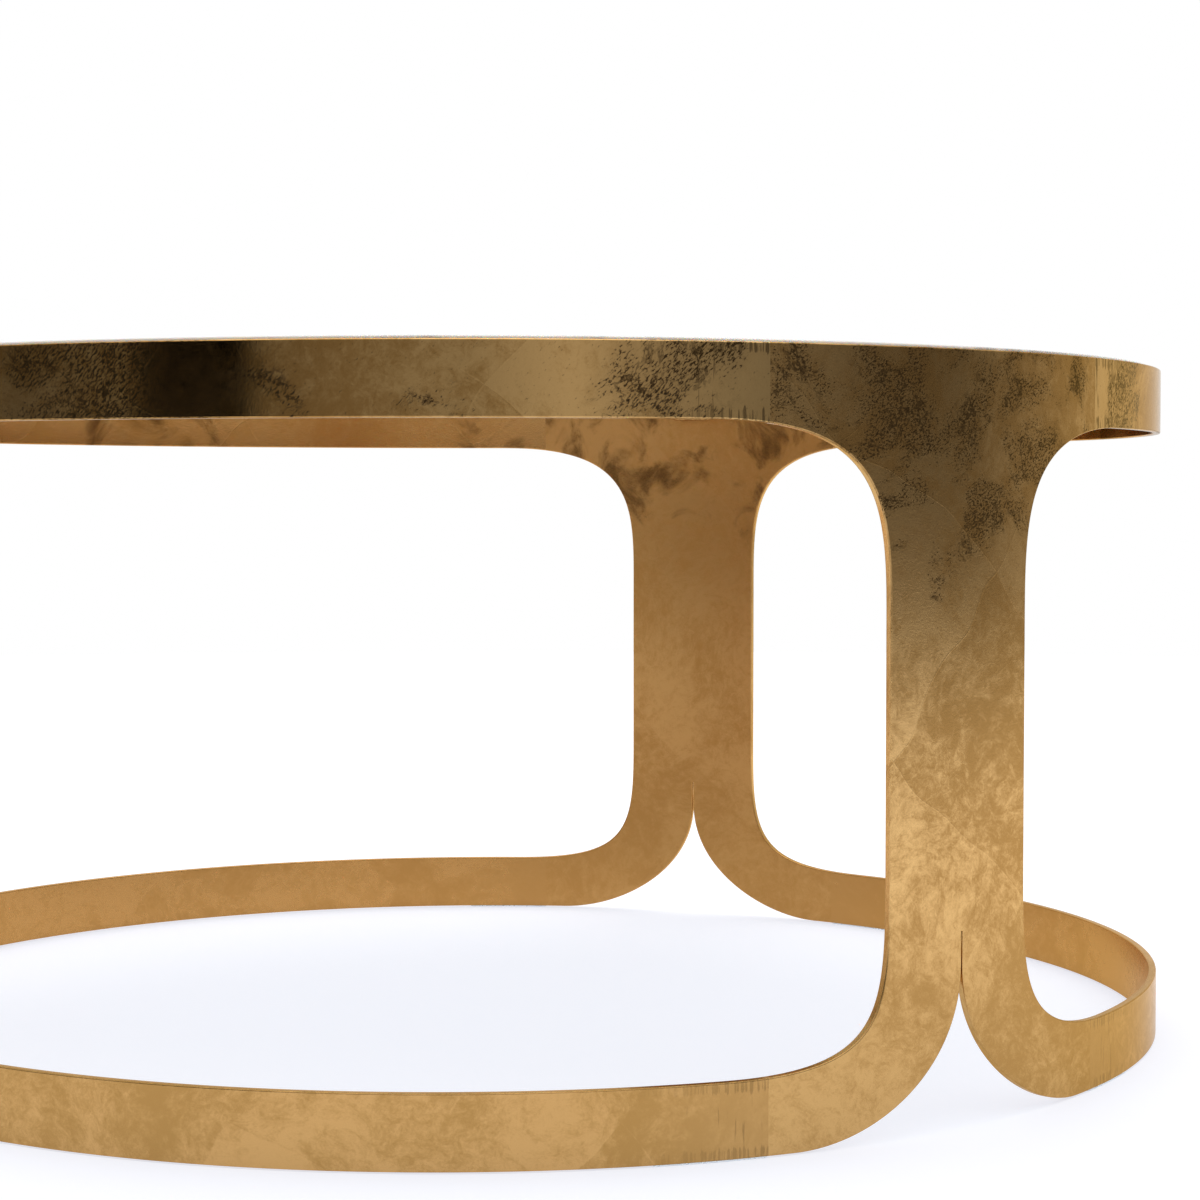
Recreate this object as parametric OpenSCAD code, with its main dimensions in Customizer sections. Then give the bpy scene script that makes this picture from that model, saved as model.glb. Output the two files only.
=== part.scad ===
// Round drum coffee table: a leafed steel frame of three legs between two hoops,
// and a stone top that drops into the upper hoop.
// Millimetres, +Z up. The origin is on the floor, under the middle of the table.
// One leg stands on -Y, and the other two are a third of a turn to each side.

/* [Table] */
// Diameter over the outside of the hoops
table_d = 914.4; // [800:0.1:1000]
// Height of the steel frame, without its floor glides
frame_h = 429.7; // [400:0.1:480]
// Thickness of the rolled steel plate
plate_t = 5; // [4:0.5:8]
// Height of the upper hoop
band_h = 40.5; // [36:0.5:50]
// Height of the base hoop
base_h = 41.2; // [36:0.1:50]

/* [Legs] */
// Width of a leg, measured round the drum
leg_w = 106; // [90:1:120]
// Distance from a leg's middle to its seam with a hoop, measured round the drum
seam_reach = 129.3; // [125:0.1:140]
// Height of the blend from a leg into the upper hoop
top_blend_h = 109; // [90:1:120]
// Distance from a leg's middle to where that blend ends, past the seam
top_blend_reach = 163; // [150:1:170]
// Height of the blend from a leg into the base hoop
base_blend_h = 100; // [80:1:110]
// Distance from a leg's middle to where that blend ends, past the seam
base_blend_reach = 152; // [145:1:170]
// Height of the round edge of each foot
foot_h = 90.4; // [80:0.1:100]
// Distance from a leg's middle to where a foot's round edge reaches the floor
foot_reach = 112.7; // [105:0.1:125]
// Height of the top of the slit that parts the two feet of a leg
slit_h = 109; // [104:1:125]
// Width of the slit above the feet
slit_w = 0.8; // [0.6:0.1:2]

/* [Top] */
// Thickness of the stone slab
slab_t = 12; // [10:0.5:15]
// Clear gap between the slab and the inside of the upper hoop
slab_gap = 1.5; // [1:0.1:3]
// How far the slab stands above the upper hoop
slab_proud = 2; // [1:0.1:4]
// Width of the bevel round both rims of the slab
slab_bevel = 0.8; // [0.5:0.1:2]

/* [Small parts] */
// Width of a support tab, along the hoop
tab_w = 44; // [30:1:60]
// Length of a support tab, towards the middle of the table
tab_l = 30; // [24:1:45]
// Thickness of a support tab
tab_t = 4; // [3:0.5:5]
// Radius of a support tab's two free corners
tab_corner_r = 6; // [4:0.5:10]
// Diameter of a clear bumper
bumper_d = 12; // [8:1:16]
// Thickness of a clear bumper
bumper_t = 1.5; // [1:0.1:3]
// Length of a floor glide, measured round the drum
glide_l = 64; // [40:1:90]
// Width of a floor glide
glide_w = 4; // [3:0.5:4]
// Thickness of a floor glide
glide_t = 0.8; // [0.6:0.1:2]

/* [Hidden] */
$fn = 180;

leaf_colour = "#B58E56";
stone_colour = "#F2F0EC";
silicone_colour = "#DDE3E6";

leg_count = 3;
tab_count = 6;
table_r = table_d / 2;
inner_r = table_r - plate_t;
seam_angle = seam_reach / table_r * 180 / PI;
bay_angle = 360 / leg_count - 2 * seam_angle;

// Heights above the floor
frame_z = glide_t;
band_top_z = frame_z + frame_h;
band_low_z = band_top_z - band_h;
base_top_z = frame_z + base_h;
slab_top_z = band_top_z + slab_proud;
slab_low_z = slab_top_z - slab_t;
tab_top_z = slab_low_z - bumper_t;

slab_r = inner_r - slab_gap;
bumper_r = inner_r - tab_l / 2 - slab_gap;
glide_r = table_r - plate_t / 2;
glide_angle = glide_l / glide_r * 180 / PI;
glide_reach_angle = seam_angle + glide_angle / 2;

// Room beside a hoop for the ends of the blends
blend_tail_h = 10;
// How far a bay's outline runs on past its seams, before it is cut off there
seam_overrun = 15;

// Steps along each blend curve
blend_steps = 20;
// Lengths of each curve's two handles, as shares of its corner's sides
top_handle_x = 0.99;
top_handle_z = 0.56;
base_handle_x = 0.98;
base_handle_z = 0.72;
foot_handle_x = 0.45;
foot_handle_z = 0.62;

// A point on the cubic curve from a to d that leaves towards b and arrives from c
function curve_point(a, b, c, d, t) =
    pow(1 - t, 3) * a + 3 * pow(1 - t, 2) * t * b + 3 * (1 - t) * t * t * c + t * t * t * d;

// A corner eased from the upright side (x0, z0) to the level side (x1, z1)
function corner(x0, z0, x1, z1, handle_x, handle_z) = [
    for (i = [0:blend_steps])
        curve_point(
            [x0, z0], [x0, z0 + (z1 - z0) * handle_z],
            [x1 + (x0 - x1) * handle_x, z1], [x1, z1], i / blend_steps
        )
];

function reversed(points) = [for (i = [len(points) - 1:-1:0]) points[i]];

// A distance measured round the drum, seen square on from outside the leg
function flattened(points) = [for (p = points) [table_r * sin(p.x / table_r * 180 / PI), p.y]];

// Blend from the leg's edge up into the upper hoop
top_blend = corner(
    leg_w / 2, band_low_z - top_blend_h, top_blend_reach, band_low_z, top_handle_x, top_handle_z
);
// Blend from the leg's edge down into the base hoop
base_blend = corner(
    leg_w / 2, base_top_z + base_blend_h, base_blend_reach, base_top_z, base_handle_x, base_handle_z
);
// Round edge of a foot, from the slit down to the floor
foot_edge = corner(
    slit_w / 2, frame_z + foot_h, foot_reach, frame_z, foot_handle_x, foot_handle_z
);

// One side of the leg's outline, from the top of the slit round to the top of the hoop.
// It runs on past both blends, and the drum's sectors cut it off at the seams.
outline_reach = max(top_blend_reach, base_blend_reach) + plate_t;
half_outline = flattened(concat(
    [[0, frame_z + slit_h], [slit_w / 2, frame_z + slit_h]],
    foot_edge,
    [[outline_reach, frame_z], [outline_reach, base_top_z]],
    reversed(base_blend),
    top_blend,
    [[outline_reach, band_low_z], [outline_reach, band_top_z]]
));
leg_outline = concat(half_outline, reversed([for (p = half_outline) if (p.x > 0) [-p.x, p.y]]));

// The end of a blend past the seam, seen square on from outside the middle of the bay
function blend_end(blend) = [
    for (p = blend)
        if (p.x > seam_reach - seam_overrun)
            [table_r * sin(180 / leg_count - p.x / table_r * 180 / PI), p.y]
];

// A hoop's outline across a bay: the edge that the blends run into, and a level side at far_z
function bay_outline(blend, far_z) =
    let (side = blend_end(blend), w = side[0].x)
        concat(side, reversed([for (p = side) [-p.x, p.y]]), [[-w, far_z], [w, far_z]]);

// Part of a tube round the table's middle, centred on -Y, over the given angle
module drum_sector(outer_r, width, low_z, height, angle) {
    translate([0, 0, low_z])
        rotate([0, 0, -90 - angle / 2])
            rotate_extrude(angle = angle)
                translate([outer_r - width, 0])
                    square([width, height]);
}

// Turns a piece on -Y to place i of n round the table
module place(i, n, start = 0) {
    rotate([0, 0, start + i * 360 / n])
        children();
}

// A rolled plate on -Y with the given outline, cut off square at its seams
module rolled_plate(outline, low_z, height, angle) {
    color(leaf_colour)
        intersection() {
            drum_sector(table_r, plate_t, low_z, height, angle);
            translate([0, -table_r / 2, 0])
                rotate([90, 0, 0])
                    linear_extrude(height = table_r)
                        polygon(outline);
        }
}

// A leg with its short stretches of both hoops, cut from one rolled plate
module leg_panel(i) {
    place(i, leg_count)
        rolled_plate(leg_outline, frame_z, frame_h, 2 * seam_angle);
}

// The stretch of the upper hoop between two leg panels, with the ends of their blends
module top_hoop_arc(i) {
    place(i, leg_count, 180 / leg_count)
        rolled_plate(
            bay_outline(top_blend, band_top_z + blend_tail_h),
            band_low_z - blend_tail_h, band_h + blend_tail_h, bay_angle
        );
}

// The stretch of the base hoop between two leg panels, with the ends of their blends
module base_hoop_arc(i) {
    place(i, leg_count, 180 / leg_count)
        rolled_plate(
            bay_outline(base_blend, frame_z - blend_tail_h),
            frame_z, base_h + blend_tail_h, bay_angle
        );
}

// Rectangle from y = 0 to y = length with its two far corners rounded
module tab_outline(width, length, corner_r) {
    translate([-width / 2, -corner_r])
        square([width, length]);
    translate([corner_r - width / 2, -corner_r])
        square([width - 2 * corner_r, length + corner_r]);
    for (side = [-1, 1])
        translate([side * (width / 2 - corner_r), length - corner_r])
            circle(r = corner_r, $fn = 48);
}

// A small flat plate welded inside the upper hoop, which carries the slab
module support_tab(i) {
    color(leaf_colour)
        place(i, tab_count)
            translate([0, 0, tab_top_z - tab_t])
                linear_extrude(height = tab_t)
                    intersection() {
                        circle(r = inner_r);
                        translate([0, -inner_r])
                            tab_outline(tab_w, tab_l, tab_corner_r);
                    }
}

// The loose stone slab, a disc with both rims bevelled
module stone_top() {
    color(stone_colour)
        translate([0, 0, slab_low_z])
            rotate_extrude()
                polygon([
                    [0, 0], [slab_r - slab_bevel, 0], [slab_r, slab_bevel],
                    [slab_r, slab_t - slab_bevel], [slab_r - slab_bevel, slab_t], [0, slab_t]
                ]);
}

// One soft disc on each support tab, between steel and stone
module clear_bumpers() {
    color(silicone_colour)
        for (i = [0:tab_count - 1])
            place(i, tab_count)
                translate([0, -bumper_r, tab_top_z])
                    cylinder(d = bumper_d, h = bumper_t, $fn = 48);
}

// One thin strip under the base hoop on each side of each leg
module floor_glides() {
    color(silicone_colour)
        for (i = [0:leg_count - 1], side = [-1, 1])
            place(i, leg_count, side * glide_reach_angle)
                drum_sector(glide_r + glide_w / 2, glide_w, 0, glide_t, glide_angle);
}

leg_panel(0);  // leg_panel_1
leg_panel(1);  // leg_panel_2
leg_panel(2);  // leg_panel_3
top_hoop_arc(0);  // top_hoop_arc_1
top_hoop_arc(1);  // top_hoop_arc_2
top_hoop_arc(2);  // top_hoop_arc_3
base_hoop_arc(0);  // base_hoop_arc_1
base_hoop_arc(1);  // base_hoop_arc_2
base_hoop_arc(2);  // base_hoop_arc_3
support_tab(0);  // support_tab_1
support_tab(1);  // support_tab_2
support_tab(2);  // support_tab_3
support_tab(3);  // support_tab_4
support_tab(4);  // support_tab_5
support_tab(5);  // support_tab_6
stone_top();
clear_bumpers();
floor_glides();
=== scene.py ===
# %% [markdown]
# # A round coffee table in metal leaf
# The table is a drum. Three flat legs join an upper hoop to a base hoop, all cut from steel plate,
# rolled to one radius, welded, ground flush and covered in metal leaf. A loose stone slab drops into
# the upper hoop. The frame that is loaded here is the table's engineering model. It says where each
# piece is, and this script gives each piece the shape and the finish that the eye expects.

# %% Load the frame
import math

import bmesh
import bpy
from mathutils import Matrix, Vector


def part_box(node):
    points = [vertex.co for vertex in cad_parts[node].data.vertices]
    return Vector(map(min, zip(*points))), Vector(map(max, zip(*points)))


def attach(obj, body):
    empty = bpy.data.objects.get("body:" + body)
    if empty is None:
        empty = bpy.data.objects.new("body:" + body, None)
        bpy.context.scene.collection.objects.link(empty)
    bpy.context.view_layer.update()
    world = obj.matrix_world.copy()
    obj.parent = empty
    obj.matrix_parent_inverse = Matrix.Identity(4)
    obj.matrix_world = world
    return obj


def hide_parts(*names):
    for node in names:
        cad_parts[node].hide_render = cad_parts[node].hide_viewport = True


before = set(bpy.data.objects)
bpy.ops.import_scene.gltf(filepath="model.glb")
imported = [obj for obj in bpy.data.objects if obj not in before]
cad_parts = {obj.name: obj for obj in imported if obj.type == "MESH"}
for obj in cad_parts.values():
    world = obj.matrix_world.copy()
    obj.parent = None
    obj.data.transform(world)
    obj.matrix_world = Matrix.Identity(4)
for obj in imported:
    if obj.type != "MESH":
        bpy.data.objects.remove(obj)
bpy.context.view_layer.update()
MM = 0.001

# %% [markdown]
# ## Measures
# What the frame knows is read from it: the table's radius, the heights of the hoops, the slab, the
# tabs and the pads. A box can't tell the outline of a blend, so the few numbers that drive it are
# repeated here in millimetres, as on the maker's drawing.

# %% Read the measures
leg_low, leg_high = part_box("leg_panel_1")
slab_low, slab_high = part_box("stone_top")
tab_low, tab_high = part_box("support_tab_1")
glide_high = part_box("floor_glides")[1]
TABLE_R = -leg_low[1]
PLATE_T = 5 * MM
INNER_R = TABLE_R - PLATE_T
FRAME_Z = leg_low[2]
BAND_TOP_Z = leg_high[2]
BAND_LOW_Z = BAND_TOP_Z - 40.5 * MM
BASE_TOP_Z = FRAME_Z + 41.2 * MM
LEG_COUNT = 3
TAB_COUNT = 6
PITCH = 2 * math.pi / LEG_COUNT
TAB_TURNS = [i * 2 * math.pi / TAB_COUNT for i in range(TAB_COUNT)]
HALF_PITCH = TABLE_R * PITCH / 2
LEG_HALF = 53 * MM
SEAM_REACH = 129.3 * MM
print("radius, foot and top of the steel, mm:", [round(v / MM, 2) for v in (TABLE_R, FRAME_Z, BAND_TOP_Z)])

# %% [markdown]
# ## Camera
# The camera is set before anything is made, so that every test render is seen from the same place.
# It stands low, a little under the slab, and to the left of the nearest leg, with a long lens. The
# low stand hides the slab's top and shows the drum as a strip with two leg openings behind it.

# %% Set the camera
CAMERA_TURN = math.radians(-36.05)
CAMERA_REACH = 4.0275 * TABLE_R
CAMERA_Z = 0.7668 * TABLE_R
LOOK_RIGHT = math.radians(2.68)
LOOK_DOWN = math.radians(2.23)
LENS_MM = 81.07
SENSOR_MM = 36
camera_data = bpy.data.cameras.new("studio_camera")
camera_data.lens = LENS_MM
camera_data.sensor_width = SENSOR_MM
camera = bpy.data.objects.new("studio_camera", camera_data)
camera.location = (CAMERA_REACH * math.sin(CAMERA_TURN), -CAMERA_REACH * math.cos(CAMERA_TURN), CAMERA_Z)
camera.rotation_euler = (math.pi / 2 - LOOK_DOWN, 0, CAMERA_TURN - LOOK_RIGHT)
bpy.context.collection.objects.link(camera)
bpy.context.scene.camera = camera
bpy.context.scene.view_settings.view_transform = "Standard"
print("camera at", [round(v, 3) for v in camera.location])

# %% [markdown]
# ## The leg's outline
# A leg doesn't meet its hoops at a corner. Its edge leaves the upright slowly, turns hard, and then
# runs level for a long way, which no single arc does. One cubic curve does it with four points: two
# ends, and two handles that lie on the corner's own sides. The outline is drawn flat, as distance
# round the drum and height, because that is how the plate is cut before it is rolled.

# %% Draw the curves
CURVE_STEPS = 44
SLIT_TOP_Z = FRAME_Z + 109 * MM
SLIT_HALF = 0.4 * MM


def corner(x0, x1, level_z, rise, handle_x, handle_z):
    """The edge that leaves the upright x0 at rise from the level, and ends level at x1."""
    a = Vector((x0, level_z + rise))
    b = Vector((x0, level_z + rise * (1 - handle_z)))
    c = Vector((x1 + (x0 - x1) * handle_x, level_z))
    d = Vector((x1, level_z))
    points = []
    for i in range(CURVE_STEPS + 1):
        t = i / CURVE_STEPS
        p = (1 - t) ** 3 * a + 3 * (1 - t) ** 2 * t * b + 3 * (1 - t) * t * t * c + t**3 * d
        points.append((p.x, p.y))
    return points


top_blend = corner(LEG_HALF, 163 * MM, BAND_LOW_Z, -109 * MM, 0.99, 0.56)
base_blend = corner(LEG_HALF, 152 * MM, BASE_TOP_Z, 100 * MM, 0.98, 0.72)
foot_edge = corner(SLIT_HALF, 112.7 * MM, FRAME_Z, 90.4 * MM, 0.45, 0.62)
print("curves of", len(top_blend), "points each")

# %% [markdown]
# ## Where the plates are cut
# Sheet steel comes in lengths, so the frame is nine plates: three legs with short stretches of both
# hoops, and three arcs for each hoop. The seams are butt welds ground flush. A blend is still
# falling when it reaches its seam, so the arcs carry its last few millimetres.

# %% Cut the curves at the seams
NEAR = 0.5 * MM


def height_at(curve, x):
    """Height of a curve where it passes x."""
    for (x0, z0), (x1, z1) in zip(curve, curve[1:]):
        if x0 <= x <= x1:
            return z0 + (z1 - z0) * (x - x0) / (x1 - x0)


def before_seam(curve):
    kept = [p for p in curve if p[0] < SEAM_REACH - NEAR]
    return kept + [(SEAM_REACH, height_at(curve, SEAM_REACH))]


def past_seam(curve):
    """The rest of the curve, measured from the middle of the bay towards the seam."""
    kept = [p for p in reversed(curve) if p[0] > SEAM_REACH + NEAR]
    kept.append((SEAM_REACH, height_at(curve, SEAM_REACH)))
    return [(HALF_PITCH - x, z) for x, z in kept]


def mirrored(points):
    return [(-x, z) for x, z in reversed(points)]


leg_side = [(SLIT_HALF, SLIT_TOP_Z)] + foot_edge + [(SEAM_REACH, FRAME_Z)]
leg_side += before_seam(base_blend)[::-1] + before_seam(top_blend) + [(SEAM_REACH, BAND_TOP_Z)]
leg_outline = leg_side + mirrored(leg_side)

BAY_REACH = HALF_PITCH - SEAM_REACH
band_side = past_seam(top_blend) + [(BAY_REACH, BAND_TOP_Z)]
band_outline = band_side + mirrored(band_side)
base_side = [(BAY_REACH, FRAME_Z)] + past_seam(base_blend)[::-1]
base_outline = base_side + mirrored(base_side)
print("outline points:", len(leg_outline), len(band_outline), len(base_outline))

# %% [markdown]
# ## From outline to plate
# A plate could be a flat solid with a bevel modifier, but a bevel on a bent sheet spoils the light
# that slides along its edge. So the plate is built flat with its rounded edge already on it: the
# outline is drawn several times, each time a step further round the edge. Each point also
# remembers which way its surface faces. Then the plate is sliced into narrow strips, so that it can
# be bent, and the remembered directions are bent with it, which gives clean reflections.

# %% Build a flat plate
STRIP = 6 * MM
ROUND_STEPS = 4


def edge_steps(thickness, radius):
    """(inset, depth, facing out, facing front) of each step round the edge, front to back."""
    turns = [math.pi / 2 * k / ROUND_STEPS for k in range(ROUND_STEPS + 1)]
    front = [
        (radius * (1 - math.sin(a)), radius * (1 - math.cos(a)), math.sin(a), math.cos(a)) for a in turns
    ]
    back = [(inset, thickness - depth, out, -ahead) for inset, depth, out, ahead in reversed(front)]
    return front + back


def outward(outline, i, cut_reach):
    """How far point i moves for a unit of inset: out of the plate, or along a seam that it ends on."""
    before, here, after = (Vector(outline[j % len(outline)]) for j in (i - 1, i, i + 1))
    sides = []
    for a, b in ((before, here), (here, after)):
        is_seam = cut_reach is not None and abs(a.x - b.x) < 1e-6 and abs(a.x) > cut_reach - 1e-6
        if not is_seam:
            along = (b - a).normalized()
            sides.append(Vector((along.y, -along.x)))
    if len(sides) == 1:
        return Vector((0, math.copysign(1, sides[0].y)))
    return (sides[0] + sides[1]) / (1 + sides[0].dot(sides[1]))


def flat_plate(outline, thickness, radius, cut_reach=None, strip=STRIP):
    """Points (along, depth, height), facings and faces of a plate, drawn anticlockwise from its front.

    Edges that lie on x = +-cut_reach are seams, and stay square.
    """
    flat = bmesh.new()
    facing = flat.verts.layers.float_vector.new("facing")
    count = len(outline)
    moves = [outward(outline, i, cut_reach) for i in range(count)]
    rings = []
    for inset, depth, out, ahead in edge_steps(thickness, radius):
        ring = []
        for (x, z), move in zip(outline, moves):
            vert = flat.verts.new((x - move.x * inset, depth, z - move.y * inset))
            side = move.normalized() * out
            vert[facing] = Vector((side.x, -ahead, side.y))
            ring.append(vert)
        rings.append(ring)
    for ring, following in zip(rings, rings[1:]):
        for i in range(count):
            j = (i + 1) % count
            flat.faces.new((ring[i], following[i], following[j], ring[j]))
    caps = [flat.faces.new(rings[0]), flat.faces.new(rings[-1][::-1])]
    flat.normal_update()
    bmesh.ops.triangulate(flat, faces=caps, ngon_method="BEAUTY")
    reach = max(abs(x) for x, _ in outline)
    slices = int(reach / strip)
    for k in range(-slices, slices + 1):
        everything = flat.verts[:] + flat.edges[:] + flat.faces[:]
        cut_at = (k * strip, 0, 0)
        bmesh.ops.bisect_plane(flat, geom=everything, dist=1e-7, plane_co=cut_at, plane_no=(1, 0, 0))
    flat.verts.index_update()
    points = [v.co.copy() for v in flat.verts]
    facings = [v[facing].normalized() for v in flat.verts]
    faces = [[v.index for v in f.verts] for f in flat.faces]
    flat.free()
    return points, facings, faces


EDGE_R = 0.9 * MM
leg_flat = flat_plate(leg_outline, PLATE_T, EDGE_R, SEAM_REACH)
band_flat = flat_plate(band_outline, PLATE_T, EDGE_R, BAY_REACH)
base_flat = flat_plate(base_outline, PLATE_T, EDGE_R, BAY_REACH)
print("flat plates, faces:", len(leg_flat[2]), len(band_flat[2]), len(base_flat[2]))

# %% [markdown]
# ## Rolling a plate
# Rolling turns distance along the sheet into an angle round the drum. Each point also keeps its
# place on the flat sheet in an attribute called sheet, because leaf is laid on by the sheet too, and
# its pattern has to run round the drum without stretching. Depth through the plate is stored four
# times larger, so that a pattern changes from the outside to the inside and not only along them.

# %% Roll a plate
DEPTH_SPREAD = 4


def new_piece(name, points, faces, facings=None):
    mesh = bpy.data.meshes.new(name)
    mesh.from_pydata(points, [], faces)
    mesh.update()
    mesh.shade_smooth()
    if facings:
        mesh.normals_split_custom_set_from_vertices(facings)
    piece = bpy.data.objects.new(name, mesh)
    bpy.context.collection.objects.link(piece)
    return piece


def lay_sheet(piece, places):
    """Stores where each point lies on the flat sheet, in metres."""
    layer = piece.data.attributes.new("sheet", "FLOAT_VECTOR", "POINT")
    layer.data.foreach_set("vector", [v for place in places for v in place])


def roll(name, flat, turn):
    """A rolled plate whose middle is at angle turn round the drum, counted from -Y."""
    flat_points, flat_facings, faces = flat
    points, facings, places = [], [], []
    for p, n in zip(flat_points, flat_facings):
        angle = turn + p.x / TABLE_R
        along = Vector((math.cos(angle), math.sin(angle), 0))
        inward = Vector((-math.sin(angle), math.cos(angle), 0))
        points.append(inward * (p.y - TABLE_R) + Vector((0, 0, p.z)))
        facings.append(along * n.x + inward * n.y + Vector((0, 0, n.z)))
        places.append((turn * TABLE_R + p.x, p.z, DEPTH_SPREAD * p.y))
    piece = new_piece(name, points, faces, facings)
    lay_sheet(piece, places)
    return piece


legs, bands, bases = [], [], []
for i in range(LEG_COUNT):
    legs.append(roll(f"leg_plate_{i + 1}", leg_flat, i * PITCH))
    bands.append(roll(f"upper_hoop_plate_{i + 1}", band_flat, (i + 0.5) * PITCH))
    bases.append(roll(f"base_hoop_plate_{i + 1}", base_flat, (i + 0.5) * PITCH))
    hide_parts(f"leg_panel_{i + 1}")
    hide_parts(f"top_hoop_arc_{i + 1}")
    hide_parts(f"base_hoop_arc_{i + 1}")
print("rolled", len(legs + bands + bases), "plates")

# %% [markdown]
# ## Support tabs and their welds
# Six small plates inside the upper hoop carry the slab. Each is cut with two round corners, eased at
# its edges, and fixed with one fillet weld along its underside, where it can't be seen from above.
# A hand-laid weld is a row of overlapping puddles, so the bead is a quarter-round strip whose size
# rises and falls once every few millimetres.

# %% Make the tabs
TAB_T = tab_high[2] - tab_low[2]
TAB_HALF = (tab_high[0] - tab_low[0]) / 2
TAB_REACH = INNER_R + tab_high[1]
TAB_CORNER = 6 * MM
TAB_EDGE_R = 0.5 * MM
CORNER_STEPS = 8
TAB_STRIP = 3 * MM


def tab_shape():
    """A tab from above, as distance along the hoop and distance in towards the middle."""
    side = []
    for k in range(CORNER_STEPS + 1):
        a = math.pi / 2 * k / CORNER_STEPS
        x = TAB_HALF - TAB_CORNER * (1 - math.cos(a))
        side.append((x, TAB_REACH - TAB_CORNER * (1 - math.sin(a))))
    root = []
    for k in range(CORNER_STEPS + 1):
        x = TAB_HALF * (2 * k / CORNER_STEPS - 1)
        root.append((x, INNER_R - math.sqrt(INNER_R**2 - x**2)))
    return root + side + mirrored(side)


def round_table(points, turn):
    """Turns points that were made on -Y to their angle round the table."""
    c, s = math.cos(turn), math.sin(turn)
    return [Vector((p.x * c - p.y * s, p.x * s + p.y * c, p.z)) for p in points]


tab_points, tab_facings, tab_faces = flat_plate(tab_shape(), TAB_T, TAB_EDGE_R, strip=TAB_STRIP)
tabs = []
for i, turn in enumerate(TAB_TURNS):
    laid = [Vector((p.x, p.z - INNER_R, tab_high[2] - p.y)) for p in tab_points]
    facings = [Vector((n.x, n.z, -n.y)) for n in tab_facings]
    piece = new_piece(f"slab_tab_{i + 1}", round_table(laid, turn), tab_faces, round_table(facings, turn))
    lay_sheet(piece, [(turn * INNER_R + p.x, p.z, p.y) for p in tab_points])
    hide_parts(f"support_tab_{i + 1}")
    tabs.append(piece)
print("tabs:", len(tabs), "of", round(2 * TAB_HALF / MM, 1), "x", round(TAB_REACH / MM, 1), "mm")

# %% Lay the weld beads
WELD_LEG = 2.6 * MM
WELD_RIPPLE = 2.2 * MM
WELD_LENGTH = 2 * TAB_HALF - 6 * MM
WELD_ACROSS = 6
ROWS_PER_RIPPLE = 6
WELD_BITE = 0.1 * MM


def weld_bead():
    """Points and faces of the bead under the tab on -Y, swept along the inside of the hoop."""
    rows = int(WELD_LENGTH / WELD_RIPPLE * ROWS_PER_RIPPLE)
    points, faces = [], []
    for i in range(rows + 1):
        x = WELD_LENGTH * (i / rows - 0.5)
        wave = (x / WELD_RIPPLE) % 1
        taper = math.sqrt(max(0.04, 1 - (2 * x / WELD_LENGTH) ** 8))
        size = WELD_LEG * taper * (0.86 + 0.14 * math.sqrt(1 - wave))
        wall_y = -math.sqrt((INNER_R + WELD_BITE) ** 2 - x * x)
        top_z = tab_low[2] + WELD_BITE
        points.append(Vector((x, wall_y, top_z)))
        for k in range(WELD_ACROSS + 1):
            a = math.pi / 2 * k / WELD_ACROSS
            bulge = size * (0.74 + 0.26 * abs(math.cos(2 * a)))
            points.append(Vector((x, wall_y + bulge * math.cos(a), top_z - bulge * math.sin(a))))
    ring = WELD_ACROSS + 2
    for i in range(rows):
        for k in range(ring):
            a, b = i * ring + k, i * ring + (k + 1) % ring
            faces.append((a, b, b + ring, a + ring))
    faces.append(list(range(ring))[::-1])
    faces.append([rows * ring + k for k in range(ring)])
    return points, faces


weld_points, weld_faces = weld_bead()
welds = []
for i, turn in enumerate(TAB_TURNS):
    piece = new_piece(f"weld_bead_{i + 1}", round_table(weld_points, turn), weld_faces)
    lay_sheet(piece, [(turn * INNER_R + p.x, p.z, p.y + INNER_R) for p in weld_points])
    welds.append(piece)
print("welds:", len(welds), "beads", round(WELD_LENGTH / MM, 1), "mm long")

# %% [markdown]
# ## The slab, its bumpers and the floor glides
# A slab's rim is eased by hand with a diamond pad, so its arris is a small round and not a line.
# The slab and the bumpers are turned shapes: one outline, swept round. A silicone bumper is cast
# with a low dome and a thin foot. The glides are thin strips stuck under the base hoop.

# %% Turn the round pieces


def arc_points(x, z, radius, start, end, steps):
    """Points on an arc about (x, z), with both angles in quarter turns."""
    angles = [math.pi / 2 * (start + (end - start) * k / steps) for k in range(steps + 1)]
    return [(x + radius * math.cos(a), z + radius * math.sin(a)) for a in angles]


def turned(profile, steps, x=0, y=0):
    """A closed shape swept round the upright through (x, y). The profile runs from pole to pole."""
    points, faces = [], []
    inner = profile[1:-1]
    for r, z in inner:
        for k in range(steps):
            a = 2 * math.pi * k / steps
            points.append(Vector((x + r * math.cos(a), y + r * math.sin(a), z)))
    for row in range(len(inner) - 1):
        for k in range(steps):
            a, b = row * steps + k, row * steps + (k + 1) % steps
            faces.append((a, b, b + steps, a + steps))
    last = (len(inner) - 1) * steps
    faces.append(list(range(steps))[::-1])
    faces.append([last + k for k in range(steps)])
    return points, faces


SLAB_R = slab_high[0]
SLAB_EASE = 1.2 * MM
SLAB_RING = 30 * MM
SLAB_STEPS = 360
BUMPER_STEPS = 40
slab_profile = [(0, slab_low[2])]
slab_profile += [(SLAB_R - r, slab_low[2]) for r in (SLAB_RING, 2 * SLAB_EASE)]
slab_profile += arc_points(SLAB_R - SLAB_EASE, slab_low[2] + SLAB_EASE, SLAB_EASE, -1, 0, 6)
slab_profile += arc_points(SLAB_R - SLAB_EASE, slab_high[2] - SLAB_EASE, SLAB_EASE, 0, 1, 6)
slab_profile += [(SLAB_R - r, slab_high[2]) for r in (2 * SLAB_EASE, SLAB_RING)]
slab_profile += [(0, slab_high[2])]
slab = new_piece("marble_slab", *turned(slab_profile, SLAB_STEPS))
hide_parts("stone_top")

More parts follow.
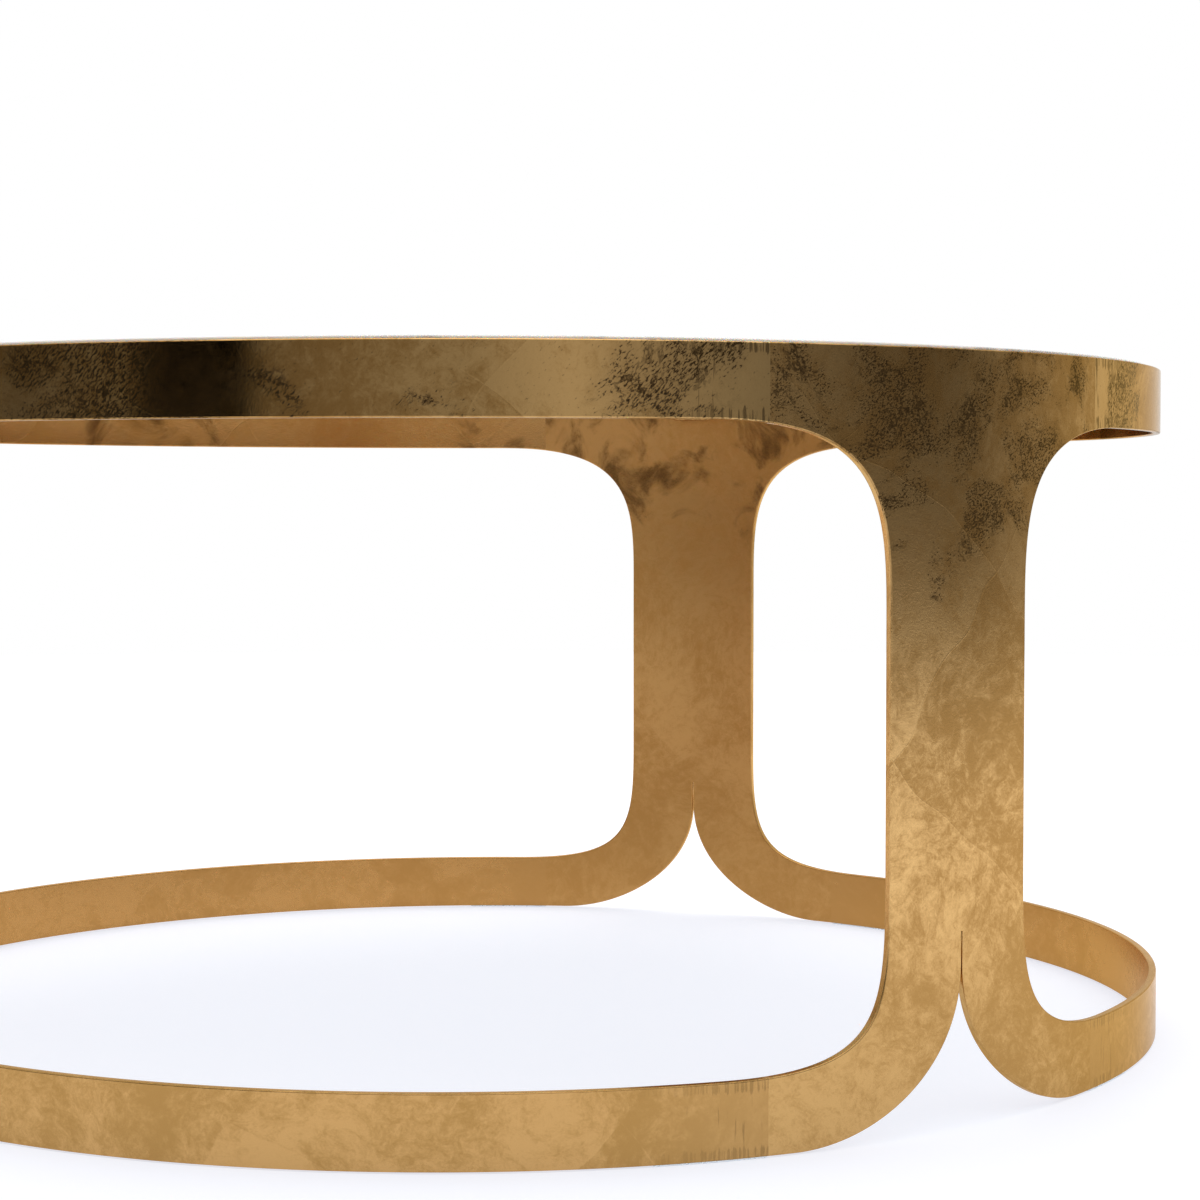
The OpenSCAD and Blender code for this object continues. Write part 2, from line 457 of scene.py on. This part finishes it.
BUMPER_R = 6 * MM
BUMPER_T = slab_low[2] - tab_high[2]
bumper_reach = -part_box("clear_bumpers")[0][1] - BUMPER_R
BUMPER_FOOT = 0.3 * MM
foot_z = tab_high[2] + BUMPER_FOOT
dome_r = BUMPER_T - BUMPER_FOOT
bumper_profile = [(0, tab_high[2]), (BUMPER_R - BUMPER_FOOT, tab_high[2])]
bumper_profile += arc_points(BUMPER_R - BUMPER_FOOT, foot_z, BUMPER_FOOT, -1, 0, 4)[1:]
bumper_profile += arc_points(BUMPER_R - dome_r, foot_z, dome_r, 0, 1, 6)[1:]
bumper_profile += [(0, slab_low[2])]
bumpers = []
for i, turn in enumerate(TAB_TURNS):
    x, y = bumper_reach * math.sin(turn), -bumper_reach * math.cos(turn)
    bumpers.append(new_piece(f"silicone_bumper_{i + 1}", *turned(bumper_profile, BUMPER_STEPS, x, y)))
    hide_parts("clear_bumpers")
print("slab radius", round(SLAB_R / MM, 1), "bumpers at", round(bumper_reach / MM, 1), "mm")

# %% Make the floor glides
GLIDE_T = glide_high[2]
GLIDE_HALF = 32 * MM
GLIDE_HALF_W = 2 * MM
GLIDE_R = TABLE_R - PLATE_T / 2
GLIDE_ANGLE = SEAM_REACH / TABLE_R + GLIDE_HALF / GLIDE_R
GLIDE_EDGE_R = 0.25 * MM
glide_outline = arc_points(GLIDE_HALF - GLIDE_HALF_W, 0, GLIDE_HALF_W, -1, 1, 8)
glide_outline += arc_points(GLIDE_HALF_W - GLIDE_HALF, 0, GLIDE_HALF_W, 1, 3, 8)
glide_flat = flat_plate(glide_outline, GLIDE_T, GLIDE_EDGE_R)
glides = []
for i in range(LEG_COUNT):
    for side in (-1, 1):
        turn = i * PITCH + side * GLIDE_ANGLE
        points, facings = [], []
        for p, n in zip(glide_flat[0], glide_flat[1]):
            angle = turn + p.x / GLIDE_R
            outward_way = Vector((math.sin(angle), -math.cos(angle), 0))
            along = Vector((math.cos(angle), math.sin(angle), 0))
            points.append(outward_way * (GLIDE_R - p.z) + Vector((0, 0, GLIDE_T - p.y)))
            facings.append(along * n.x - outward_way * n.z - Vector((0, 0, n.y)))
        glides.append(new_piece(f"glide_strip_{len(glides) + 1}", points, glide_flat[2], facings))
        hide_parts("floor_glides")
print("glides:", len(glides), "at", round(math.degrees(GLIDE_ANGLE), 1), "degrees each side of a leg")

# %% [markdown]
# ## Colours, nodes and real sizes
# Every colour below is written the way a paint chart gives it, as an sRGB hex value, and one
# function turns it into the linear light that Blender mixes. Another adds a node with its settings
# and its links. A pattern's scale is worked out from the size of the real thing in millimetres.

# %% Define the helpers


EASED = {"interpolation_type": "SMOOTHSTEP"}
FALLING = {"To Min": 1.0, "To Max": 0.0}
COLOURS = {"data_type": "RGBA"}


def linear(hex_value):
    """An sRGB hex colour as linear red, green, blue and alpha."""
    channels = [int(hex_value[k : k + 2], 16) / 255 for k in (1, 3, 5)]
    return [c / 12.92 if c <= 0.04045 else ((c + 0.055) / 1.055) ** 2.4 for c in channels] + [1]


def per(size_mm):
    """Texture scale at which one feature is size_mm across."""
    return 1 / (size_mm * MM)


def node(tree, kind, inputs=None, **settings):
    """Adds a node, sets it up, and links or sets its inputs. A node as an input gives its first output."""
    made = tree.nodes.new("ShaderNode" + kind)
    for key, value in settings.items():
        setattr(made, key, value)
    for key, value in (inputs or {}).items():
        if isinstance(value, bpy.types.Node):
            value = next(output for output in value.outputs if output.enabled)
        if isinstance(value, bpy.types.NodeSocket):
            tree.links.new(value, made.inputs[key])
        else:
            made.inputs[key].default_value = value
    return made


def new_material(name):
    """An empty material with its shader, ready for a pattern."""
    material = bpy.data.materials.new(name)
    material.use_nodes = True
    shader = material.node_tree.nodes["Principled BSDF"]
    return material, material.node_tree, shader


print("a mark 10 mm across has texture scale", round(per(10), 1))

# %% [markdown]
# ## Metal leaf
# Leaf is brass beaten thinner than paper, laid in squares of about 140 mm over size, rubbed down with
# a soft brush, browned with a patina wash and lacquered. It is a bare metal to the eye, so it is fully
# metallic, and its colour is the colour of its reflection. Four things tell it from plain brass. Each
# square has its own tone and a faint raised lap. The brush left cloudy, swirling rubs. The wash broke
# into dark specks, short slanting strokes and hairline cracks, worst high on the legs and round the
# upper hoop. Where an arc was masked for its weld, the wash ran into small upright ticks.
# Painted light is laid into the colour too. The browning high up is partly lacquer and partly a painted
# reflection of the dim room. The inner faces get a painted warm reflection and painted shade under the
# slab. The leaf darkens towards the floor, partly from dust and partly as painted contact shade.

# %% Make the leaf
SQUARE_MM = 140
SQUARE_ROW_MM = 128
LAP_MM = 0.6


def metal_leaf(name, light, deep, gloss, glaze_and_dim_reflection, wear, worn_z, slant, grit, rims=None, masked=None):
    """Leafed metal. gloss is its least roughness. The glaze amount browns it higher up, partly as lacquer
    and partly as a painted reflection of the dim room.

    wear says how full the wash is, and worn_z between which heights it comes in. slant is the way
    it was wiped, in degrees, and grit the size of its specks in mm. An arc also gives its rims'
    heights, and the tone that its ends were left in when they were masked.
    """
    material, tree, shader = new_material(name)
    sheet = node(tree, "Attribute", attribute_name="sheet").outputs["Vector"]
    along, height, depth = node(tree, "SeparateXYZ", {0: sheet}).outputs

    # Hand-laid squares wander, so their places are bent before the pattern is drawn.
    drift = node(tree, "TexNoise", {"Vector": sheet, "Scale": per(130), "Detail": 2.0}).outputs["Color"]
    drift = node(tree, "VectorMath", {0: drift, 1: (0.5, 0.5, 0.5)}, operation="SUBTRACT")
    drift = node(tree, "VectorMath", {0: drift, "Scale": 70 * MM}, operation="SCALE")
    laid = node(tree, "VectorMath", {0: sheet, 1: drift}, operation="ADD")
    tilt = {"Rotation": (0, 0, math.radians(38)), "Location": (30 * MM, 0, 0)}
    square = node(
        tree,
        "TexBrick",
        {
            "Vector": node(tree, "Mapping", {"Vector": laid, **tilt}),
            "Color1": (0, 0, 0, 1),
            "Color2": (1, 1, 1, 1),
            "Mortar": (0.5, 0.5, 0.5, 1),
            "Scale": 1.0,
            "Mortar Size": LAP_MM * MM,
            "Mortar Smooth": 1.0,
            "Brick Width": SQUARE_MM * MM,
            "Row Height": SQUARE_ROW_MM * MM,
        },
        offset=0.0,
    )

    # Four sizes of mark make the tone: cloud, square, brush rub and crinkle.
    fine = {"Detail": 7.0, "Roughness": 0.76, "Distortion": 0.5}
    rub = node(tree, "TexNoise", {"Vector": laid, "Scale": per(9), **fine})
    broad = {"Detail": 4.0, "Roughness": 0.55, "Distortion": 0.4}
    cloud = node(tree, "TexNoise", {"Vector": laid, "Scale": per(55), **broad})
    crinkle = node(tree, "TexNoise", {"Vector": sheet, "Scale": per(3), "Detail": 3.0, "Distortion": 1.5})
    tone = node(tree, "Math", {0: cloud, 1: 0.8, 2: rub}, operation="MULTIPLY_ADD")
    tone = node(tree, "Math", {0: square, 1: 0.28, 2: tone}, operation="MULTIPLY_ADD")
    tone = node(tree, "Math", {0: crinkle, 1: 0.3, 2: tone}, operation="MULTIPLY_ADD")
    tone = node(tree, "MapRange", {"Value": tone, "From Min": 0.96, "From Max": 1.40}, **EASED)
    foil = node(tree, "Mix", {0: tone, 6: linear(deep), 7: linear(light)}, **COLOURS)
    # Darker towards the floor: partly dust, partly painted contact shade where the plate nears the floor.
    foot = {"From Min": 50 * MM, "From Max": 150 * MM, "To Min": 0.45, "To Max": 0.0}
    foot = node(tree, "MapRange", {"Value": height, **foot}, **EASED)
    foil = node(tree, "Mix", {0: foot, 6: foil, 7: linear("#A8834D")}, **COLOURS)

    # Where the wash is: high up, in patches, on both faces but rubbed off the edges. A rolled plate's
    # depth is stored four times over, so its inner face, 5 mm in, is at 20 mm.
    inside = node(tree, "MapRange", {"Value": depth, "From Min": 15 * MM, "From Max": 19 * MM}, **EASED)
    edge = node(tree, "MapRange", {"Value": depth, "From Min": 2 * MM, "From Max": 4 * MM}, **EASED)
    edge = node(tree, "Math", {0: edge, 1: inside}, operation="SUBTRACT", use_clamp=True)
    flat_face = node(tree, "Math", {0: 1.0, 1: edge}, operation="SUBTRACT")
    reach = {"From Min": worn_z[0], "From Max": worn_z[1], "To Max": wear}
    high = node(tree, "MapRange", {"Value": height, **reach}, **EASED)
    # Browning by height: partly brown lacquer, partly a painted reflection of the dim room in the upper
    # faces.
    reach = {"From Min": worn_z[0] - 60 * MM, "From Max": worn_z[1] - 30 * MM, "To Max": glaze_and_dim_reflection}
    glaze_and_dim_reflection_mask = node(tree, "MapRange", {"Value": height, **reach}, **EASED)
    glaze_and_dim_reflection_mask = node(tree, "Math", {0: glaze_and_dim_reflection_mask, 1: flat_face}, operation="MULTIPLY")
    past_the_seam = node(tree, "Math", {0: along, 1: HALF_PITCH}, operation="PINGPONG")
    past_the_seam = node(tree, "Math", {0: past_the_seam, 1: SEAM_REACH}, operation="SUBTRACT")
    ragged = {"Detail": 4.0, "Roughness": 0.6, "Distortion": 0.6}
    patches = node(tree, "TexNoise", {"Vector": laid, "Scale": per(42), **ragged})
    patches = node(tree, "Math", {0: high, 1: 0.25, 2: patches}, operation="MULTIPLY_ADD")
    kept_dry = -0.13 if rims else -0.07
    patches = node(tree, "Math", {0: inside, 1: kept_dry, 2: patches}, operation="MULTIPLY_ADD")
    if rims:
        reach = {"From Min": 50 * MM, "From Max": 120 * MM, **FALLING}
        near_end = node(tree, "MapRange", {"Value": past_the_seam, **reach}, **EASED)
        reach = {"From Min": 6 * MM, "From Max": 22 * MM}
        unmasked = node(tree, "MapRange", {"Value": past_the_seam, **reach}, **EASED)
        near_end = node(tree, "Math", {0: near_end, 1: unmasked}, operation="MULTIPLY")
        reach = {"From Min": 250 * MM, "From Max": 310 * MM}
        mid_bay = node(tree, "MapRange", {"Value": past_the_seam, **reach}, **EASED)
        handled = node(tree, "Math", {0: near_end, 1: mid_bay}, operation="MAXIMUM")
        handled = node(tree, "Math", {0: handled, 1: 0.30, 2: -0.2}, operation="MULTIPLY_ADD")
        patches = node(tree, "Math", {0: patches, 1: handled}, operation="ADD")
    patches = node(tree, "MapRange", {"Value": patches, "From Min": 0.63, "From Max": 0.84}, **EASED)

    # In a patch the wash is a haze, with short wiped strokes and hairline cracks in it.
    wiped = {"Rotation": (0, 0, math.radians(slant)), "Scale": (2.6 if rims else 1.5, 1.0, 1.0)}
    strokes = node(tree, "Mapping", {"Vector": sheet, **wiped}, vector_type="TEXTURE")
    gritty = {"Detail": 5.0, "Roughness": 0.7, "Distortion": 0.4}
    specks = node(tree, "TexNoise", {"Vector": strokes, "Scale": per(grit), **gritty})
    specks = node(tree, "Math", {0: patches, 1: 0.15, 2: specks}, operation="MULTIPLY_ADD")
    specks = node(tree, "MapRange", {"Value": specks, "From Min": 0.61, "From Max": 0.71}, **EASED)
    branched = {"Detail": 8.0, "Roughness": 0.62, "Distortion": 0.3}
    crack = node(tree, "TexNoise", {"Vector": laid, "Scale": per(46), **branched})
    crack = node(tree, "Math", {0: crack, 1: 0.5}, operation="SUBTRACT")
    crack = node(tree, "Math", {0: crack}, operation="ABSOLUTE")
    crack = node(tree, "MapRange", {"Value": crack, "From Max": 0.018, **FALLING}, **EASED)
    crack = node(tree, "Math", {0: crack, 1: patches}, operation="MULTIPLY")
    haze = node(tree, "Math", {0: patches, 1: 0.18}, operation="MULTIPLY")
    broken = node(tree, "Math", {0: specks, 1: crack}, operation="MAXIMUM")
    broken = node(tree, "Math", {0: broken, 1: haze}, operation="MAXIMUM")
    shown = node(tree, "Math", {0: high, 1: 3.0}, operation="MULTIPLY", use_clamp=True)
    broken = node(tree, "Math", {0: broken, 1: shown}, operation="MULTIPLY")
    spared = node(tree, "Math", {0: inside, 1: -0.9 if rims else -0.6, 2: 1.0}, operation="MULTIPLY_ADD")
    broken = node(tree, "Math", {0: broken, 1: spared}, operation="MULTIPLY")
    broken = node(tree, "Math", {0: broken, 1: flat_face}, operation="MULTIPLY")

    if rims:
        reach = {"From Max": 90 * MM, **FALLING}
        near_the_seam = node(tree, "MapRange", {"Value": past_the_seam, **reach}, **EASED)
        from_top = node(tree, "Math", {0: rims[1], 1: height}, operation="SUBTRACT")
        from_foot = node(tree, "Math", {0: height, 1: rims[0]}, operation="SUBTRACT")
        rim = node(tree, "Math", {0: from_top, 1: from_foot}, operation="MINIMUM")
        reach = {"From Min": 4 * MM, "From Max": 8 * MM, **FALLING}
        rim = node(tree, "MapRange", {"Value": rim, **reach}, **EASED)
        upright = node(tree, "Mapping", {"Vector": sheet, "Scale": (1.0, 0.06, 1.0)})
        tick = node(tree, "TexNoise", {"Vector": upright, "Scale": per(2.6), "Roughness": 0.6})
        tick = node(tree, "Math", {0: rim, 1: 0.15, 2: tick}, operation="MULTIPLY_ADD")
        tick = node(tree, "MapRange", {"Value": tick, "From Min": 0.63, "From Max": 0.69}, **EASED)
        outer_end = node(tree, "Math", {0: near_the_seam, 1: inside}, operation="SUBTRACT", use_clamp=True)
        tick = node(tree, "Math", {0: tick, 1: outer_end}, operation="MULTIPLY")
        tick = node(tree, "Math", {0: tick, 1: 0.25 + 0.45 * wear}, operation="MULTIPLY")
        broken = node(tree, "Math", {0: broken, 1: tick}, operation="MAXIMUM")
        near_the_seam = node(tree, "Math", {0: near_the_seam, 1: 0.7}, operation="MULTIPLY")
        foil = node(tree, "Mix", {0: near_the_seam, 6: foil, 7: linear(masked)}, **COLOURS)

    # The brown goes on here: lacquer, and a painted reflection of the dim room, stronger higher up.
    foil = node(tree, "Mix", {0: glaze_and_dim_reflection_mask, 6: foil, 7: linear("#765731")}, **COLOURS)
    # Painted reflection: the inner faces are tinted warm, as gold reflecting gold inside the drum.
    painted_gold_reflection = node(tree, "Math", {0: inside, 1: 0.55}, operation="MULTIPLY")
    foil = node(tree, "Mix", {0: painted_gold_reflection, 6: foil, 7: linear("#C28B4A")}, **COLOURS)
    # Painted shade: the inner faces darken high up, under the slab, broken up by the wash's patches.
    painted_shade_under_slab = node(tree, "Math", {0: high, 1: inside}, operation="MULTIPLY")
    painted_shade_under_slab = node(tree, "Math", {0: painted_shade_under_slab, 1: patches}, operation="MULTIPLY")
    painted_shade_under_slab = node(tree, "Math", {0: painted_shade_under_slab, 1: 0.8}, operation="MULTIPLY")
    foil = node(tree, "Mix", {0: painted_shade_under_slab, 6: foil, 7: linear("#5E3D1C")}, **COLOURS)
    colour = node(tree, "Mix", {0: broken, 6: foil, 7: linear("#46341E")}, **COLOURS)
    tree.links.new(colour.outputs[2], shader.inputs["Base Color"])
    shader.inputs["Metallic"].default_value = 1.0
    shader.inputs["Specular Tint"].default_value = linear("#F4DFBE")
    rough = node(tree, "MapRange", {"Value": tone, "To Min": gloss + 0.05, "To Max": gloss})
    rough = node(tree, "Math", {0: broken, 1: 0.12, 2: rough}, operation="MULTIPLY_ADD")
    rough = node(tree, "Math", {0: inside, 1: 0.08, 2: rough}, operation="MULTIPLY_ADD")
    tree.links.new(rough.outputs[0], shader.inputs["Roughness"])

    lift = node(tree, "Math", {0: square.outputs["Fac"], 1: 0.5, 2: crinkle}, operation="MULTIPLY_ADD")
    bump = node(tree, "Bump", {"Height": lift, "Strength": 0.25, "Distance": 0.12 * MM})
    tree.links.new(bump.outputs[0], shader.inputs["Normal"])
    return material


BAND_RIMS = (BAND_LOW_Z, BAND_TOP_Z)
BASE_RIMS = (FRAME_Z, BASE_TOP_Z)
leaf_legs = metal_leaf(
    "metal_leaf_on_legs",
    light="#DFB577",
    deep="#B48A50",
    gloss=0.20,
    glaze_and_dim_reflection=0.47,
    wear=1.0,
    worn_z=(250 * MM, 360 * MM),
    slant=25,
    grit=1.1,
)
leaf_band = metal_leaf(
    "metal_leaf_on_upper_hoop",
    light="#DAB174",
    deep="#B2874C",
    gloss=0.08,
    glaze_and_dim_reflection=0.3,
    wear=1.0,
    worn_z=(200 * MM, 360 * MM),
    slant=45,
    grit=1.15,
    rims=BAND_RIMS,
    masked="#DDB87D",
)
leaf_base = metal_leaf(
    "metal_leaf_on_base_hoop",
    light="#DDB072",
    deep="#B48A4E",
    gloss=0.18,
    glaze_and_dim_reflection=0.2,
    wear=0.1,
    worn_z=(200 * MM, 500 * MM),
    slant=45,
    grit=1.8,
    rims=BASE_RIMS,
    masked="#B8915A",
)
print("leaf finishes:", leaf_legs.name, leaf_band.name, leaf_base.name)

# %% [markdown]
# ## Honed marble
# White marble is packed calcite grains with thin grey veins where mud was squeezed into cracks. A
# honed face is flat but not glassy, so it has a broad, soft shine. Its IOR is about 1.5. Light goes
# a few millimetres into it, red the furthest, and comes out again, so a thin edge looks luminous.

# %% Make the marble
VEIN_GAP_MM = 210
CLOUD_MM = 90
GRAIN_MM = 1.5
marble, tree, shader = new_material("honed_white_marble")
place = node(tree, "TexCoord").outputs["Object"]
bend = node(tree, "TexNoise", {"Vector": place, "Scale": per(260), "Detail": 4.0}).outputs["Color"]
bend = node(tree, "VectorMath", {0: bend, "Scale": 0.22}, operation="SCALE")
bent = node(tree, "VectorMath", {0: place, 1: bend}, operation="ADD")
vein = node(tree, "TexNoise", {"Vector": bent, "Scale": per(VEIN_GAP_MM), "Detail": 7.0, "Roughness": 0.55})
vein = node(tree, "Math", {0: vein, 1: 0.5}, operation="SUBTRACT")
vein = node(tree, "Math", {0: vein}, operation="ABSOLUTE")
vein = node(tree, "MapRange", {"Value": vein, "From Max": 0.028, **FALLING}, **EASED)
fade = node(tree, "TexNoise", {"Vector": place, "Scale": per(150), "Detail": 2.0})
fade = node(tree, "MapRange", {"Value": fade, "From Min": 0.4, "From Max": 0.65, "To Max": 0.75})
vein = node(tree, "Math", {0: vein, 1: fade}, operation="MULTIPLY")
cloud = node(tree, "TexNoise", {"Vector": bent, "Scale": per(CLOUD_MM), "Detail": 4.0})
ground = node(tree, "Mix", {0: cloud, 6: linear("#CFCDC9"), 7: linear("#E3E2DF")}, **COLOURS)
stone = node(tree, "Mix", {0: vein, 6: ground, 7: linear("#92908E")}, **COLOURS)
tree.links.new(stone.outputs[2], shader.inputs["Base Color"])
grain = node(tree, "TexNoise", {"Vector": place, "Scale": per(GRAIN_MM), "Detail": 3.0})
rough = node(tree, "MapRange", {"Value": grain, "To Min": 0.26, "To Max": 0.38})
tree.links.new(rough.outputs[0], shader.inputs["Roughness"])
shader.inputs["IOR"].default_value = 1.5
shader.inputs["Subsurface Weight"].default_value = 0.85
shader.inputs["Subsurface Radius"].default_value = (1.0, 0.66, 0.46)
shader.inputs["Subsurface Scale"].default_value = 8.5 * MM
print("marble veins about", VEIN_GAP_MM, "mm apart")

# %% [markdown]
# ## Clear silicone
# Cast silicone is soft and water-clear with a skin that scatters a little. It bends light less than
# glass, with an IOR of about 1.41, and fine dust makes its surface dull in patches.

# %% Make the silicone
SILICONE_IOR = 1.41
silicone, tree, shader = new_material("clear_cast_silicone")
place = node(tree, "TexCoord").outputs["Object"]
dust = node(tree, "TexNoise", {"Vector": place, "Scale": per(2), "Detail": 4.0})
rough = node(tree, "MapRange", {"Value": dust, "To Min": 0.15, "To Max": 0.45})
tree.links.new(rough.outputs[0], shader.inputs["Roughness"])
clear = node(tree, "Mix", {0: dust, 6: linear("#E9EEF0"), 7: linear("#D6DCDF")}, **COLOURS)
tree.links.new(clear.outputs[2], shader.inputs["Base Color"])
shader.inputs["IOR"].default_value = SILICONE_IOR
shader.inputs["Transmission Weight"].default_value = 0.7
print("silicone IOR", SILICONE_IOR)

# %% [markdown]
# ## Dress the pieces
# Each piece gets its finish and rides on the body that it belongs to. Only the slab moves by itself.

# %% Give each piece its finish and its body


def dress(pieces, material, body):
    for piece in pieces:
        piece.data.materials.append(material)
        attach(piece, body)


dress(legs, leaf_legs, "frame")
dress(bands, leaf_band, "frame")
dress(bases, leaf_base, "frame")
dress(tabs + welds, leaf_base, "frame")
dress(bumpers + glides, silicone, "frame")
dress([slab], marble, "top")

# %% [markdown]
# ## The studio
# Metal has no look of its own: it shows the room. This room is a white table-top sweep, lit from
# above and a little from below, as a light table is, so that shadows stay pale. Round it the
# walls differ: a white wall behind the table, and a dim room with one black flag on the side
# where the camera stands. The legs' lower halves show the white floor, and their upper halves the
# dim room.

# %% Lay the floor
floor_mesh = bpy.data.meshes.new("studio_floor")
FLOOR_R = 4.2
FLOOR_STEPS = 96
angles = [math.tau * k / FLOOR_STEPS for k in range(FLOOR_STEPS)]
ring = [(FLOOR_R * math.cos(a), FLOOR_R * math.sin(a), 0) for a in angles]
floor_mesh.from_pydata(ring, [], [list(range(FLOOR_STEPS))])
floor = bpy.data.objects.new("studio_floor", floor_mesh)
bpy.context.collection.objects.link(floor)
sweep, tree, shader = new_material("white_sweep")
shader.inputs["Base Color"].default_value = linear("#B9B1A9")
shader.inputs["Roughness"].default_value = 0.8
shader.inputs["Specular IOR Level"].default_value = 0.1
shader.inputs["Emission Color"].default_value = linear("#E7F0FF")
shader.inputs["Emission Strength"].default_value = 0.72
floor_mesh.materials.append(sweep)
print("floor radius", FLOOR_R, "m")

# %% Paint the room
# Degrees round the room from where the camera stands, rising to its right, and the tone there.
ROOM = [
    (-180, 0.90), (-112, 0.90), (-90, 0.30), (-75, 0.14), (-64, 0.19), (-53, 0.19), (-51, 0.00),
    (-35, 0.00), (-31, 0.26), (-20, 0.36), (0, 0.42), (15, 0.66), (28, 0.44), (45, 0.30), (60, 0.16),
    (82, 0.13), (92, 0.38), (100, 0.60), (110, 0.82), (120, 0.92), (180, 0.90),
]
world = bpy.data.worlds.new("studio_room")
bpy.context.scene.world = world
world.use_nodes = True
tree = world.node_tree
tree.nodes.clear()
way = node(tree, "SeparateXYZ", {0: node(tree, "TexCoord").outputs["Generated"]}).outputs
back = node(tree, "Math", {0: way["Y"], 1: -1.0}, operation="MULTIPLY")
turn = node(tree, "Math", {0: way["X"], 1: back}, operation="ARCTAN2")
camera_share = 0.5 - CAMERA_TURN / math.tau
turn = node(tree, "Math", {0: turn, 1: 1 / math.tau, 2: camera_share}, operation="MULTIPLY_ADD")
turn = node(tree, "Math", {0: turn}, operation="FRACT")
ramp = node(tree, "ValToRGB", {0: turn})
stops = ramp.color_ramp.elements
while len(stops) < len(ROOM):
    stops.new(0.5)
for stop, (angle, _) in zip(stops, ROOM):
    stop.position = (angle + 180) / 360
for stop, (_, light) in zip(stops, ROOM):
    stop.color = (light, light, light, 1)
upward = node(tree, "MapRange", {"Value": way["Z"], "From Min": 0.24, "From Max": 0.75}, **EASED)
room = node(tree, "Mix", {0: upward, 6: ramp, 7: linear("#FDFEFF")}, **COLOURS)
below = {"From Min": -0.08, "From Max": -0.01, **FALLING}
downward = node(tree, "MapRange", {"Value": way["Z"], **below})
room = node(tree, "Mix", {0: downward, 6: room, 7: linear("#9C9C9C")}, **COLOURS)
seen = node(tree, "LightPath").outputs["Is Camera Ray"]
room = node(tree, "Mix", {0: seen, 6: room, 7: (1, 1, 1, 1)}, **COLOURS)
shine = node(tree, "Background", {"Color": room, "Strength": 1.0})
node(tree, "OutputWorld", {"Surface": shine})
print("room of", len(ROOM), "tones")

# %% Hang the softbox
SOFTBOX_AT = (0.4, 0.6, 2.8)
SOFTBOX_WIDTH = 3.2
SOFTBOX_WATTS = 45
softbox_data = bpy.data.lights.new("softbox", "AREA")
softbox_data.shape = "DISK"
softbox_data.size = SOFTBOX_WIDTH
softbox_data.energy = SOFTBOX_WATTS
softbox = bpy.data.objects.new("softbox", softbox_data)
softbox.location = SOFTBOX_AT
bpy.context.collection.objects.link(softbox)
print("softbox", SOFTBOX_WIDTH, "m across")
